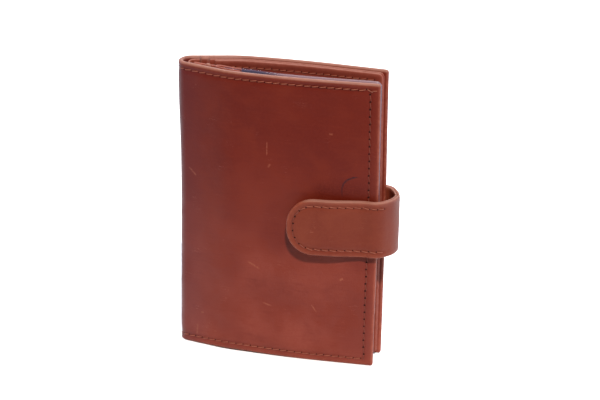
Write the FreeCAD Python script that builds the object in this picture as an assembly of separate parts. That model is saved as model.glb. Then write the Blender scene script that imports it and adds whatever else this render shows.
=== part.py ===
"""Trifold leather wallet with a tab closure, standing on its bottom edge.

Frame: +Z up along the wallet's height, +X from the spine to the free edges,
-Y towards the front cover. The origin is the bottom centre of the whole wallet.

Three leaves meet at a soft spine: the back cover with a note pocket and card
slots, a middle leaf of clear film over dark cloth, and the front cover with a
note pocket and an identity window. A strap sewn to the back cover loops round
the free edges and is held on the front cover by a hidden press stud.

Every layer is a band between two offsets of one plan profile, trimmed to an
outline in X and Z. Depth is measured inwards from a cover's outer face, so a
negative depth is outside the cover.
"""
import FreeCAD, Part
import math
import os

V = FreeCAD.Vector

# ---------------------------------------------------------------- dimensions
HEIGHT = 127.0            # wallet height, along Z
TOTAL_WIDTH = 94.0        # spine to the outside of the tab's loop
COVER_WIDTH = 87.0        # spine to the free edge of a cover

# Plan profile of the closed covers: half depths either side of the middle plane
EDGE_HALF = 9.2           # at the free edge
CROWN_HALF = 11.3         # where the two straight runs of a cover would meet
CROWN_FROM_SPINE = 47.0
CROWN_RADIUS = 330.0      # the cover's gentle bow
SHOULDER_HALF = 10.0      # where the cover turns down to the spine
SHOULDER_FROM_SPINE = 22.0
SHOULDER_RADIUS = 40.0
NOSE_RADIUS = 5.0         # outside of the spine
LINING_NOSE_RADIUS = 3.2  # the lining's own, smaller fold
LINING_NOSE_SET_IN = 5.0  # from the outside of the spine

COVER_LEATHER = 1.6
HEM_THICKNESS = 0.6       # the cover's turned edge
HEM_WIDTH = 8.0
DIVIDER_DEPTH = 2.3       # outer face of the note divider
DIVIDER_LEATHER = 1.1
FILM = 0.3
THREAD_WIDTH = 0.7
THREAD_PROUD = 0.3
THREAD_PROUD_INSIDE = 0.2
THREAD_END_INSET = 2.0    # from a straight stitch line's end to its panel's edge
CLEAR = 0.05              # air between layers of one leaf
TOUCH = 0.01              # air between two faces that lie on each other
SPARE = 1.0               # how far a cutting shape reaches past what it cuts

SEAM_INSET = 4.2          # stitch line to the cover's edge
PANEL_INSET = 1.5         # inner panels to the cover's free edge
PANEL_END_INSET = 0.8     # inner panels to the top and bottom edges
PANEL_LAP = 3.0           # inner panels reach this far past the covers' shoulder
CORNER = 2.0

TAB_WIDTH = 25.0
TAB_CENTRE_Z = 63.1
TAB_TIP_FROM_SPINE = 49.6
TAB_TIP_CORNER = 11.0
TAB_LEATHER = 1.2
TAB_LINING = 1.0
TAB_GAP = 2.0             # the press stud's height between cover and strap
TAB_ANCHOR_FROM_SPINE = 60.0
TAB_SEAM_INSET = 2.7
LOOP_BACK_RADIUS = 6.5    # outside of the strap where it turns at the back cover
LOOP_FRONT_RADIUS = 12.5  # and at the front cover

SNAP_FROM_TIP = 11.5
STUD_FLANGE_RADIUS = 5.0
STUD_FLANGE = 0.4
STUD_HEAD_RADIUS = 2.6
STUD_NECK_RADIUS = 2.1
STUD_HEIGHT = 1.8
STUD_HEAD = 0.8
STUD_ROUNDING = 0.3
RIVET_RADIUS = 1.3
WASHER_RADIUS = 4.2
WASHER = 0.45
SOCKET_RADIUS = 5.6
SOCKET_CAVITY_RADIUS = 3.6
SOCKET_HEIGHT = 1.45
SOCKET_ROUNDING = 0.4
SOCKET_FLOOR = 0.1
SEAT_AIR = 0.06           # under a metal plate that lies on bowed leather
SNAP_CAP_RADIUS = 4.4
SNAP_CAP = 0.5

SLOT_LEATHER = 0.8
SLOT_MOUTHS = (112.0, 100.0, 88.0)     # card slot mouths, from the deepest layer out
SLOT_BOTTOMS = (31.0, 19.0, PANEL_END_INSET)
BACK_BASE_DEPTH = 3.75
BACK_BASE_LEATHER = 1.0
BACK_BASE_FROM_SPINE = 12.0
SLOT_SET_BACK = 0.5       # a slot's free edge to the base panel's

WINDOW_FILM_DEPTH = 3.5
FRAME_DEPTH = 3.9
FRAME_LEATHER = 1.0
FRAME_SEAM_INSET = 3.0
FILM_SET_BACK = 1.0
WINDOW_X = (-14.0, 34.0)
WINDOW_Z = (22.0, 98.0)
WINDOW_CORNER = 4.0
THUMB_NOTCH_WIDTH = 22.0
THUMB_NOTCH_DEPTH = 9.0
THUMB_NOTCH_CORNER = 8.1

MIDDLE_DEPTH = 5.2        # outer face of the middle leaf's hinge strip
MIDDLE_STRIP = 0.8
MIDDLE_CORE = 0.5
MIDDLE_FOLD_RADIUS = 1.45
MIDDLE_TONGUE = 1.2       # the strip's sewn tongue, between the fold and the spine
MIDDLE_FOLD_FROM_SPINE = 14.7
MIDDLE_STRIP_TO = 26.0    # right edge of the hinge strip, from the spine
MIDDLE_OVERHANG = 0.25    # past the front cover's free edge
MIDDLE_END_INSET = 1.2
MIDDLE_SHEET_GAP = 1.0    # from the fold to the sheets held in it
MIDDLE_CORE_INSET = 1.0

# ------------------------------------------------------------ derived places
SPINE_X = -TOTAL_WIDTH / 2
EDGE_X = SPINE_X + COVER_WIDTH
LEAF_X = SPINE_X + SHOULDER_FROM_SPINE        # covers start here, the spine ends
TAB_THICKNESS = TAB_LEATHER + TAB_LINING
TAB_LOW = TAB_CENTRE_Z - TAB_WIDTH / 2
TAB_HIGH = TAB_CENTRE_Z + TAB_WIDTH / 2
TAB_TIP_X = SPINE_X + TAB_TIP_FROM_SPINE
TAB_ANCHOR_X = SPINE_X + TAB_ANCHOR_FROM_SPINE
SNAP_X = TAB_TIP_X + SNAP_FROM_TIP
LOOP_X = SPINE_X + TOTAL_WIDTH
LOOP_FRONT_X = LOOP_X - LOOP_FRONT_RADIUS
REACH = 30.0              # further than anything lies from the middle plane

# The bowed covers are widest at their crown, so the strap's outer face there and
# the anchor's outer face set the total depth. They are centred on Y = 0.
CROWN_SLOPE_IN = (CROWN_HALF - SHOULDER_HALF) / (CROWN_FROM_SPINE - SHOULDER_FROM_SPINE)
CROWN_SLOPE_OUT = (CROWN_HALF - EDGE_HALF) / (COVER_WIDTH - CROWN_FROM_SPINE)


def half_depth(from_spine):
    """Half depth of the closed covers on the bow between shoulder and edge."""
    turn_in, turn_out = math.atan(CROWN_SLOPE_IN), math.atan(CROWN_SLOPE_OUT)
    reach = CROWN_RADIUS * math.tan((turn_in + turn_out) / 2)
    start = CROWN_FROM_SPINE - reach * math.cos(turn_in)
    end = CROWN_FROM_SPINE + reach * math.cos(turn_out)
    if from_spine <= start:
        return CROWN_HALF - (CROWN_FROM_SPINE - from_spine) * CROWN_SLOPE_IN
    if from_spine >= end:
        return CROWN_HALF - (from_spine - CROWN_FROM_SPINE) * CROWN_SLOPE_OUT
    centre = start + CROWN_RADIUS * math.sin(turn_in)
    top = half_depth(start) + CROWN_RADIUS * (1 - math.cos(turn_in))
    return top - CROWN_RADIUS + math.sqrt(CROWN_RADIUS ** 2 - (from_spine - centre) ** 2)


FRONT_MOST = half_depth(TAB_TIP_FROM_SPINE) + TAB_GAP + TAB_THICKNESS
BACK_MOST = half_depth(TAB_ANCHOR_FROM_SPINE) + TAB_THICKNESS
MID_Y = (FRONT_MOST - BACK_MOST) / 2          # plane midway between the covers


# ------------------------------------------------------------------- helpers
def rounded_wire(corners, closed):
    """A wire through corners (first, second, radius), each turned by an arc."""
    count = len(corners)
    points = [V(a, b, 0) for a, b, _ in corners]
    edges, last, first = [], None, None
    for i, (_, _, radius) in enumerate(corners):
        at = points[i]
        inner = closed or 0 < i < count - 1
        if not inner or radius <= 0:
            start = end = at
        else:
            to_last = (points[i - 1] - at).normalize()
            to_next = (points[(i + 1) % count] - at).normalize()
            half = to_last.getAngle(to_next) / 2
            run = radius / math.tan(half)
            start, end = at + to_last * run, at + to_next * run
            middle = at + (to_last + to_next).normalize() * (radius / math.sin(half) - radius)
        if last is not None and (start - last).Length > 1e-6:
            edges.append(Part.LineSegment(last, start).toShape())
        if inner and radius > 0:
            edges.append(Part.Arc(start, middle, end).toShape())
        first = start if first is None else first
        last = end
    if closed and (last - first).Length > 1e-6:
        edges.append(Part.LineSegment(last, first).toShape())
    return Part.Wire(edges)


def offset_route(corners, depth, side):
    """Corners of a route moved sideways by depth, with their radii kept concentric.

    side is +1 where the route turns about its own left hand, as the covers do
    when followed from the back edge round the spine to the front edge.
    """
    lines = []
    for (ax, ay, _), (bx, by, _) in zip(corners, corners[1:]):
        along = V(bx - ax, by - ay, 0).normalize()
        left = V(-along.y, along.x, 0) * (depth * side)
        lines.append((V(ax, ay, 0) + left, V(bx, by, 0) + left, along))
    moved = [(lines[0][0].x, lines[0][0].y, 0)]
    for (_, here, one), (there, _, two), corner in zip(lines, lines[1:], corners[1:]):
        cross = one.x * two.y - one.y * two.x
        gap = there - here
        step = (gap.x * two.y - gap.y * two.x) / cross
        at = here + one * step
        moved.append((at.x, at.y, corner[2] - depth * math.copysign(1, cross) * side))
    moved.append((lines[-1][1].x, lines[-1][1].y, 0))
    return moved


def band(route, near, far, low, high, side=1):
    """The solid between two offsets of a route, from low to high along Z."""
    outer = rounded_wire(offset_route(route, near, side), closed=False)
    inner = rounded_wire(offset_route(route, far, side), closed=False)
    one, two = outer.OrderedVertexes, inner.OrderedVertexes
    ends = [
        Part.LineSegment(one[0].Point, two[0].Point).toShape(),
        Part.LineSegment(one[-1].Point, two[-1].Point).toShape(),
    ]
    edges = outer.Edges + inner.Edges + ends
    face = Part.Face(Part.Wire(Part.__sortEdges__(edges)))
    solid = face.extrude(V(0, 0, high - low))
    solid.translate(V(0, 0, low))
    return solid


def outline(corners):
    """A prism through the wallet along Y, with rounded corners (x, z, radius)."""
    face = Part.Face(rounded_wire(corners, closed=True))
    face.rotate(V(0, 0, 0), V(1, 0, 0), 90)
    face.translate(V(0, REACH, 0))
    return face.extrude(V(0, -2 * REACH, 0))


def rectangle(x_low, x_high, z_low, z_high, left=0.0, right=0.0):
    """A rectangular prism along Y, with its own radius for left and right corners."""
    return outline([
        (x_low, z_low, left), (x_high, z_low, right),
        (x_high, z_high, right), (x_low, z_high, left),
    ])


def hook(x_low, x_high, z_low, z_high, width):
    """A C-shaped prism along Y: top, right and bottom strips of that width."""
    inner_x, inner_low, inner_high = x_high - width, z_low + width, z_high - width
    return outline([
        (x_low, z_low, 0), (x_high, z_low, 0), (x_high, z_high, 0), (x_low, z_high, 0),
        (x_low, inner_high, 0), (inner_x, inner_high, 0),
        (inner_x, inner_low, 0), (x_low, inner_low, 0),
    ])


def seam_hook(x_low, x_high, z_low, z_high, inset):
    """A thread-wide C-shaped prism, inset from the top, right and bottom edges."""
    move = inset - THREAD_WIDTH / 2
    return hook(x_low, x_high - move, z_low + move, z_high - move, THREAD_WIDTH)


# ---------------------------------------------------------------- plan routes
def spine_slope(shoulder_half, nose_centre, nose_radius):
    """Slope of the straight wall from a shoulder corner down to a round nose."""
    run = LEAF_X - nose_centre
    to_centre = math.atan2(shoulder_half, run)
    return math.tan(to_centre - math.asin(nose_radius / math.hypot(run, shoulder_half)))


def cover_route():
    """Outer face of the covers, from the back edge round the spine to the front."""
    nose_centre = SPINE_X + NOSE_RADIUS
    slope = spine_slope(SHOULDER_HALF, nose_centre, NOSE_RADIUS)
    half = [
        (EDGE_X, EDGE_HALF, 0),
        (SPINE_X + CROWN_FROM_SPINE, CROWN_HALF, CROWN_RADIUS),
        (LEAF_X, SHOULDER_HALF, SHOULDER_RADIUS),
    ]
    back = [(x, MID_Y + y, r) for x, y, r in half]
    front = [(x, MID_Y - y, r) for x, y, r in reversed(half)]
    nose = (LEAF_X - SHOULDER_HALF / slope, MID_Y, NOSE_RADIUS)
    return back + [nose] + front


def leaf_route(side):
    """Outer face of one cover only: side is +1 for the back, -1 for the front."""
    route = cover_route()
    nose = len(route) // 2
    part = route[:nose + 1] if side > 0 else route[nose:]
    return [part[0][:2] + (0,)] + part[1:-1] + [part[-1][:2] + (0,)]


def lining_route():
    """Outer face of the spine's lining, which starts on the dividers' outer face."""
    shoulder = SHOULDER_HALF - DIVIDER_DEPTH
    nose_centre = SPINE_X + LINING_NOSE_SET_IN + LINING_NOSE_RADIUS
    slope = spine_slope(shoulder, nose_centre, LINING_NOSE_RADIUS)
    nose_x = LEAF_X - shoulder / slope
    return [
        (LEAF_X, MID_Y + shoulder, 0),
        (nose_x, MID_Y, LINING_NOSE_RADIUS),
        (LEAF_X, MID_Y - shoulder, 0),
    ]


def leaf_layer(side, near, far, shape):
    """One layer of a leaf, between two depths, trimmed to a prism along Y."""
    return band(leaf_route(side), near, far, -SPARE, HEIGHT + SPARE).common(shape)


def cover_y(side, depth, x):
    """Y of a depth below a cover's outer face, away from the spine."""
    return MID_Y + side * (half_depth(x - SPINE_X) - depth)


def normal_angle(side, x):
    """Turn about Z, in degrees, of a cover's outward normal from the Y axis."""
    step = 0.5
    slope = (half_depth(x + step - SPINE_X) - half_depth(x - step - SPINE_X)) / (2 * step)
    return side * math.degrees(math.atan(slope))


def on_front(solid, x, z):
    """Moves a solid built on the origin, +Z outwards, onto the front cover."""
    solid.rotate(V(0, 0, 0), V(1, 0, 0), 90)
    solid.rotate(V(0, 0, 0), V(0, 0, 1), normal_angle(-1, x))
    solid.translate(V(x, cover_y(-1, 0, x), z))
    return solid


def disc(radius, low, high):
    return Part.makeCylinder(radius, high - low, V(0, 0, low))


# --------------------------------------------------------------------- covers
def cover_leather(side):
    """A cover's outer leather with its turned edge along three sides."""
    panel = leaf_layer(side, 0, COVER_LEATHER, rectangle(LEAF_X, EDGE_X, 0, HEIGHT, 0, CORNER))
    rim = hook(LEAF_X, EDGE_X - CORNER, CORNER, HEIGHT - CORNER, HEM_WIDTH - CORNER)
    hem = leaf_layer(side, COVER_LEATHER - TOUCH, COVER_LEATHER + HEM_THICKNESS, rim)
    return panel.fuse(hem).removeSplitter()


def note_divider(side):
    """The leather wall that closes a cover's note pocket on the inside."""
    shape = rectangle(LEAF_X, EDGE_X - PANEL_INSET, PANEL_END_INSET, HEIGHT - PANEL_END_INSET, 0, CORNER)
    return leaf_layer(side, DIVIDER_DEPTH, DIVIDER_DEPTH + DIVIDER_LEATHER, shape)


def cover_thread(side):
    """The stitch line along a cover's three free sides."""
    shape = seam_hook(LEAF_X, EDGE_X, 0, HEIGHT, SEAM_INSET)
    return leaf_layer(side, -THREAD_PROUD, -TOUCH, shape)


def spine_leather():
    left = rectangle(SPINE_X - SPARE, LEAF_X, 0, HEIGHT)
    return band(cover_route(), 0, COVER_LEATHER, -SPARE, HEIGHT + SPARE).common(left)


def spine_lining():
    left = rectangle(SPINE_X, LEAF_X, PANEL_END_INSET, HEIGHT - PANEL_END_INSET)
    return band(lining_route(), 0, DIVIDER_LEATHER, -SPARE, HEIGHT + SPARE).common(left)


def spine_thread():
    """The cover's top and bottom stitch lines where they go round the spine."""
    runs = []
    for z in (SEAM_INSET, HEIGHT - SEAM_INSET):
        ring = band(cover_route(), -THREAD_PROUD, -TOUCH, z - THREAD_WIDTH / 2, z + THREAD_WIDTH / 2)
        runs.append(ring.common(rectangle(SPINE_X - SPARE, LEAF_X, 0, HEIGHT)))
    return Part.makeCompound([solid for run in runs for solid in run.Solids])


# ------------------------------------------------------- inside of the covers
PANEL_LOW, PANEL_HIGH = PANEL_END_INSET, HEIGHT - PANEL_END_INSET
PANEL_EDGE_X = EDGE_X - PANEL_INSET
PANEL_START_X = LEAF_X - PANEL_LAP
BACK_BASE_TO = BACK_BASE_DEPTH + BACK_BASE_LEATHER


def back_pocket_base():
    start = SPINE_X + BACK_BASE_FROM_SPINE
    shape = rectangle(start, PANEL_EDGE_X, PANEL_LOW, PANEL_HIGH, 0, CORNER)
    return leaf_layer(1, BACK_BASE_DEPTH, BACK_BASE_TO, shape)


def slot_depth(number):
    """Outer depth of a card slot's leather, counted from the base panel."""
    return BACK_BASE_TO + CLEAR * 2 + number * (SLOT_LEATHER + CLEAR * 2)


def back_card_slot(number):
    near = slot_depth(number)
    low, high = SLOT_BOTTOMS[number], SLOT_MOUTHS[number]
    shape = rectangle(PANEL_START_X, PANEL_EDGE_X - SLOT_SET_BACK, low, high, 0, CORNER)
    return leaf_layer(1, near, near + SLOT_LEATHER, shape)


def back_pocket_thread():
    """The stitch line below the top edge of the base panel."""
    z = PANEL_HIGH - SEAM_INSET
    left, right = PANEL_START_X + THREAD_END_INSET, PANEL_EDGE_X - THREAD_END_INSET
    shape = rectangle(left, right, z - THREAD_WIDTH / 2, z + THREAD_WIDTH / 2)
    return leaf_layer(1, BACK_BASE_TO + TOUCH, BACK_BASE_TO + THREAD_PROUD, shape)


def front_window_film():
    low, high = PANEL_LOW + FILM_SET_BACK, PANEL_HIGH - FILM_SET_BACK
    shape = rectangle(LEAF_X - FILM_SET_BACK, PANEL_EDGE_X, low, high)
    return leaf_layer(-1, WINDOW_FILM_DEPTH, WINDOW_FILM_DEPTH + FILM, shape)


def front_window_frame():
    """The panel round the identity window, with a thumb notch at its mouth."""
    panel = rectangle(PANEL_START_X, PANEL_EDGE_X, PANEL_LOW, PANEL_HIGH, 0, CORNER)
    window = rectangle(*WINDOW_X, *WINDOW_Z, WINDOW_CORNER, WINDOW_CORNER)
    middle = sum(WINDOW_X) / 2
    notch = rectangle(
        middle - THUMB_NOTCH_WIDTH / 2, middle + THUMB_NOTCH_WIDTH / 2,
        PANEL_HIGH - THUMB_NOTCH_DEPTH, PANEL_HIGH + 2 * THUMB_NOTCH_DEPTH,
        THUMB_NOTCH_CORNER, THUMB_NOTCH_CORNER,
    )
    return leaf_layer(-1, FRAME_DEPTH, FRAME_DEPTH + FRAME_LEATHER, panel.cut(window).cut(notch))


def front_frame_thread():
    """The stitch line round the identity window."""
    far = FRAME_SEAM_INSET
    near = far - THREAD_WIDTH
    (x_low, x_high), (z_low, z_high) = WINDOW_X, WINDOW_Z
    ring = rectangle(x_low - far, x_high + far, z_low - far, z_high + far, WINDOW_CORNER, WINDOW_CORNER)
    hole = rectangle(x_low - near, x_high + near, z_low - near, z_high + near, WINDOW_CORNER, WINDOW_CORNER)
    low = FRAME_DEPTH + FRAME_LEATHER
    return leaf_layer(-1, low + TOUCH, low + THREAD_PROUD_INSIDE, ring.cut(hole))


# ---------------------------------------------------------------- middle leaf
MIDDLE_FILM_DEPTH = MIDDLE_DEPTH + MIDDLE_STRIP + CLEAR
MIDDLE_CORE_DEPTH = MIDDLE_FILM_DEPTH + FILM + CLEAR
MIDDLE_BACK_DEPTH = MIDDLE_CORE_DEPTH + MIDDLE_CORE + CLEAR
MIDDLE_BACK_STRIP_DEPTH = MIDDLE_BACK_DEPTH + FILM + CLEAR
MIDDLE_THICKNESS = 2 * MIDDLE_FOLD_RADIUS
MIDDLE_FOLD_X = SPINE_X + MIDDLE_FOLD_FROM_SPINE


def cover_wall_half(from_spine):
    """Half depth of the covers on the straight wall beside the spine."""
    slope = spine_slope(SHOULDER_HALF, SPINE_X + NOSE_RADIUS, NOSE_RADIUS)
    return SHOULDER_HALF - (SHOULDER_FROM_SPINE - from_spine) * slope


def middle_fold_y():
    """Y of the middle leaf's fold axis, at half the leaf's thickness."""
    slope = spine_slope(SHOULDER_HALF, SPINE_X + NOSE_RADIUS, NOSE_RADIUS)
    depth = (MIDDLE_DEPTH + MIDDLE_FOLD_RADIUS) * math.hypot(1, slope)
    return MID_Y - (cover_wall_half(MIDDLE_FOLD_FROM_SPINE) - depth)


def middle_hinge_strip():
    """Leather folded round the middle leaf's left edge, with its tongue to the spine."""
    low, high = MIDDLE_END_INSET, HEIGHT - MIDDLE_END_INSET
    shape = rectangle(MIDDLE_FOLD_X, SPINE_X + MIDDLE_STRIP_TO, low, high)
    front = leaf_layer(-1, MIDDLE_DEPTH, MIDDLE_DEPTH + MIDDLE_STRIP, shape)
    far = MIDDLE_DEPTH + MIDDLE_THICKNESS
    back = leaf_layer(-1, far - MIDDLE_STRIP, far, shape)
    fold_at = V(MIDDLE_FOLD_X, middle_fold_y(), low)
    fold = Part.makeCylinder(MIDDLE_FOLD_RADIUS, high - low, fold_at)
    lining_inside = SPINE_X + LINING_NOSE_SET_IN + DIVIDER_LEATHER
    route = [(lining_inside + 4 * CLEAR, MID_Y, 0), (fold_at.x, fold_at.y, 0)]
    tongue = band(route, -MIDDLE_TONGUE / 2, MIDDLE_TONGUE / 2, low, high)
    return front.fuse(fold).fuse(back).fuse(tongue).removeSplitter()


def middle_sheet(near, thickness, inset=0.0):
    """A film or cloth of the middle leaf, from inside its fold to the free edge."""
    left = MIDDLE_FOLD_X + MIDDLE_FOLD_RADIUS + MIDDLE_SHEET_GAP
    shape = rectangle(
        left, EDGE_X + MIDDLE_OVERHANG - inset,
        MIDDLE_END_INSET + inset, HEIGHT - MIDDLE_END_INSET - inset, 0, CORNER,
    )
    return leaf_layer(-1, near, near + thickness, shape)


def middle_thread():
    """Stitch lines on both faces of the hinge strip, one solid each."""
    x = SPINE_X + MIDDLE_STRIP_TO - THREAD_END_INSET
    low = MIDDLE_END_INSET + THREAD_END_INSET
    high = HEIGHT - low
    shape = rectangle(x - THREAD_WIDTH / 2, x + THREAD_WIDTH / 2, low, high)
    far = MIDDLE_DEPTH + MIDDLE_THICKNESS
    front = leaf_layer(-1, MIDDLE_DEPTH - THREAD_PROUD_INSIDE, MIDDLE_DEPTH - TOUCH, shape)
    back = leaf_layer(-1, far + TOUCH, far + THREAD_PROUD_INSIDE, shape)
    return Part.makeCompound(front.Solids + back.Solids)


# ------------------------------------------------------------------------ tab
BACK_FACE_AT_EDGE = cover_y(1, 0, EDGE_X)
LOOP_BACK_Y = BACK_FACE_AT_EDGE + TAB_THICKNESS - LOOP_BACK_RADIUS
LOOP_FRONT_Y = cover_y(-1, -(TAB_GAP + TAB_THICKNESS), LOOP_FRONT_X) + LOOP_FRONT_RADIUS


def tab_anchor(near, far):
    """A layer of the strap's fixed end, flat on the back cover."""
    shape = rectangle(TAB_ANCHOR_X, EDGE_X, TAB_LOW, TAB_HIGH, CORNER, 0)
    return leaf_layer(1, -far, -near, shape)


def tab_anchor_thread():
    """The stitched square that holds the strap to the back cover."""
    left, right = TAB_ANCHOR_X + TAB_SEAM_INSET, EDGE_X - 1.5 * TAB_SEAM_INSET
    low, high = TAB_LOW + TAB_SEAM_INSET, TAB_HIGH - TAB_SEAM_INSET
    ring = rectangle(left, right, low, high)
    hole = rectangle(left + THREAD_WIDTH, right - THREAD_WIDTH, low + THREAD_WIDTH, high - THREAD_WIDTH)
    return leaf_layer(1, -TAB_THICKNESS - THREAD_PROUD, -TAB_THICKNESS - TOUCH, ring.cut(hole))


def tab_loop(near, far):
    """A layer of the strap round the free edges, depth counted from its outside."""
    top = LOOP_BACK_Y + LOOP_BACK_RADIUS
    bottom = LOOP_FRONT_Y - LOOP_FRONT_RADIUS
    route = [
        (EDGE_X, top, 0),
        (LOOP_X, top, LOOP_BACK_RADIUS),
        (LOOP_X, bottom, LOOP_FRONT_RADIUS),
        (LOOP_FRONT_X, bottom, 0),
    ]
    return band(route, near, far, TAB_LOW, TAB_HIGH, side=-1)


def tab_flap_shape(inset=0.0):
    corner = TAB_TIP_CORNER - inset
    return rectangle(TAB_TIP_X + inset, LOOP_FRONT_X - CLEAR, TAB_LOW + inset, TAB_HIGH - inset, corner, 0)


def tab_flap_leather():
    near, far = TAB_GAP + TAB_LINING + TOUCH, TAB_GAP + TAB_THICKNESS
    return leaf_layer(-1, -far, -near, tab_flap_shape())


def tab_flap_lining():
    """The flap's inner leather, holed for the socket's rivet and its hidden cap."""
    lining = leaf_layer(-1, -(TAB_GAP + TAB_LINING), -TAB_GAP, tab_flap_shape())
    top = TAB_GAP + TAB_LINING
    hole = disc(RIVET_RADIUS + CLEAR, 0, top + SPARE)
    seat = disc(SNAP_CAP_RADIUS + 2 * CLEAR, top - SNAP_CAP - 3 * CLEAR, top + SPARE)
    return lining.cut(on_front(hole.fuse(seat), SNAP_X, TAB_CENTRE_Z))


def tab_flap_thread():
    """The stitch line round the flap's long sides and its rounded tip."""
    inset = TAB_SEAM_INSET - THREAD_WIDTH / 2
    outer = tab_flap_shape(inset)
    corner = TAB_TIP_CORNER - inset - THREAD_WIDTH
    inner = rectangle(
        TAB_TIP_X + inset + THREAD_WIDTH, LOOP_FRONT_X + SPARE,
        TAB_LOW + inset + THREAD_WIDTH, TAB_HIGH - inset - THREAD_WIDTH, corner, 0)
    low = TAB_GAP + TAB_THICKNESS
    return leaf_layer(-1, -low - THREAD_PROUD, -low - TOUCH, outer.cut(inner))


# ----------------------------------------------------------------- press stud
WASHER_TOP = -COVER_LEATHER - SEAT_AIR
SOCKET_TOP = TAB_GAP - SEAT_AIR
SNAP_CAP_TOP = TAB_GAP + TAB_LINING - CLEAR


def at_snap(low, high, radius):
    """A disc on the press stud's axis, between two heights off the front cover."""
    return on_front(disc(radius, low, high), SNAP_X, TAB_CENTRE_Z)


def snap_stud():
    """The stud on the front cover: flange, waisted head, and its hollow rivet."""
    flange = disc(STUD_FLANGE_RADIUS, SEAT_AIR, STUD_FLANGE)
    neck = disc(STUD_NECK_RADIUS, SEAT_AIR, STUD_HEIGHT)
    head = disc(STUD_HEAD_RADIUS, STUD_HEIGHT - STUD_HEAD, STUD_HEIGHT)
    head = head.makeFillet(STUD_ROUNDING, [e for e in head.Edges if len(e.Vertexes) == 1])
    rivet = disc(RIVET_RADIUS, WASHER_TOP + TOUCH, SEAT_AIR + TOUCH)
    return on_front(flange.fuse(neck).fuse(head).fuse(rivet).removeSplitter(), SNAP_X, TAB_CENTRE_Z)


def snap_stud_washer():
    """The plate inside the note pocket that the stud is riveted to."""
    return at_snap(WASHER_TOP - WASHER, WASHER_TOP, WASHER_RADIUS)


def snap_socket():
    """The socket under the flap: a cup round the stud's head, with its rivet."""
    low = SOCKET_TOP - SOCKET_HEIGHT
    cup = disc(SOCKET_RADIUS, low, SOCKET_TOP)
    rim = [e for e in cup.Edges if len(e.Vertexes) == 1 and e.BoundBox.ZMax < low + TOUCH]
    cup = cup.makeFillet(SOCKET_ROUNDING, rim)
    cup = cup.cut(disc(SOCKET_CAVITY_RADIUS, low - SPARE, SOCKET_TOP - SOCKET_FLOOR))
    rivet = disc(RIVET_RADIUS, SOCKET_TOP - SOCKET_FLOOR, SNAP_CAP_TOP - SNAP_CAP - TOUCH)
    return on_front(cup.fuse(rivet).removeSplitter(), SNAP_X, TAB_CENTRE_Z)


def snap_cap():
    """The plate between the flap's two leathers that the socket is riveted to."""
    return at_snap(SNAP_CAP_TOP - SNAP_CAP, SNAP_CAP_TOP, SNAP_CAP_RADIUS)


# -------------------------------------------------------------------- output
def build():
    """Every piece of the wallet by its node's name."""
    pieces = {
        "back_cover_leather": cover_leather(1),
        "back_cover_thread": cover_thread(1).cut(rectangle(TAB_ANCHOR_X, LOOP_X, TAB_LOW, TAB_HIGH)),
        "back_note_divider": note_divider(1),
        "back_pocket_base": back_pocket_base(),
        "back_pocket_thread": back_pocket_thread(),
        "spine_leather": spine_leather(),
        "spine_lining": spine_lining(),
        "spine_thread": spine_thread(),
        "front_cover_leather": cover_leather(-1).cut(at_snap(-REACH, REACH, RIVET_RADIUS + CLEAR)),
        "front_cover_thread": cover_thread(-1),
        "front_note_divider": note_divider(-1),
        "front_window_film": front_window_film(),
        "front_window_frame": front_window_frame(),
        "front_frame_thread": front_frame_thread(),
        "middle_hinge_strip": middle_hinge_strip(),
        "middle_front_film": middle_sheet(MIDDLE_FILM_DEPTH, FILM),
        "middle_core_cloth": middle_sheet(MIDDLE_CORE_DEPTH, MIDDLE_CORE, MIDDLE_CORE_INSET),
        "middle_back_film": middle_sheet(MIDDLE_BACK_DEPTH, FILM),
        "middle_thread": middle_thread(),
        "tab_anchor_leather": tab_anchor(TAB_LINING + TOUCH, TAB_THICKNESS),
        "tab_anchor_lining": tab_anchor(TOUCH, TAB_LINING),
        "tab_anchor_thread": tab_anchor_thread(),
        "tab_loop_leather": tab_loop(0, TAB_LEATHER - TOUCH),
        "tab_loop_lining": tab_loop(TAB_LEATHER, TAB_THICKNESS),
        "tab_flap_leather": tab_flap_leather(),
        "tab_flap_lining": tab_flap_lining(),
        "tab_flap_thread": tab_flap_thread(),
        "snap_stud": snap_stud(),
        "snap_stud_washer": snap_stud_washer(),
        "snap_socket": snap_socket(),
        "snap_cap": snap_cap(),
    }
    for number in range(len(SLOT_MOUTHS)):
        pieces[f"back_card_slot_{number + 1}"] = back_card_slot(number)
    return pieces


def main():
    os.makedirs("parts", exist_ok=True)
    for name, shape in build().items():
        solids = shape.Solids
        if not solids or not shape.isValid():
            raise SystemExit(f"{name} is not a valid solid")
        whole = solids[0] if len(solids) == 1 else Part.makeCompound(solids)
        whole.exportStep(f"parts/{name}.step")
        box = whole.BoundBox
        print(f"{name:22s} {len(solids)} solids {whole.Volume:9.1f} mm3"
              f"  x {box.XMin:6.1f} {box.XMax:6.1f}  y {box.YMin:6.1f} {box.YMax:6.1f}"
              f"  z {box.ZMin:6.1f} {box.ZMax:6.1f}")


main()
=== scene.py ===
"""Looks for the upright trifold wallet with a tab closure.

Every leather, cloth and film piece is a plate: a flat outline with a rounded rim,
filled with a fine grid, pressed with seams and soft unevenness, then laid along a
route in plan. Lengths are in millimetres until a mesh is made.
"""
import math

import bmesh
import bpy
import numpy as np
from mathutils import Matrix, Vector, noise
from mathutils.geometry import delaunay_2d_cdt


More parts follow.
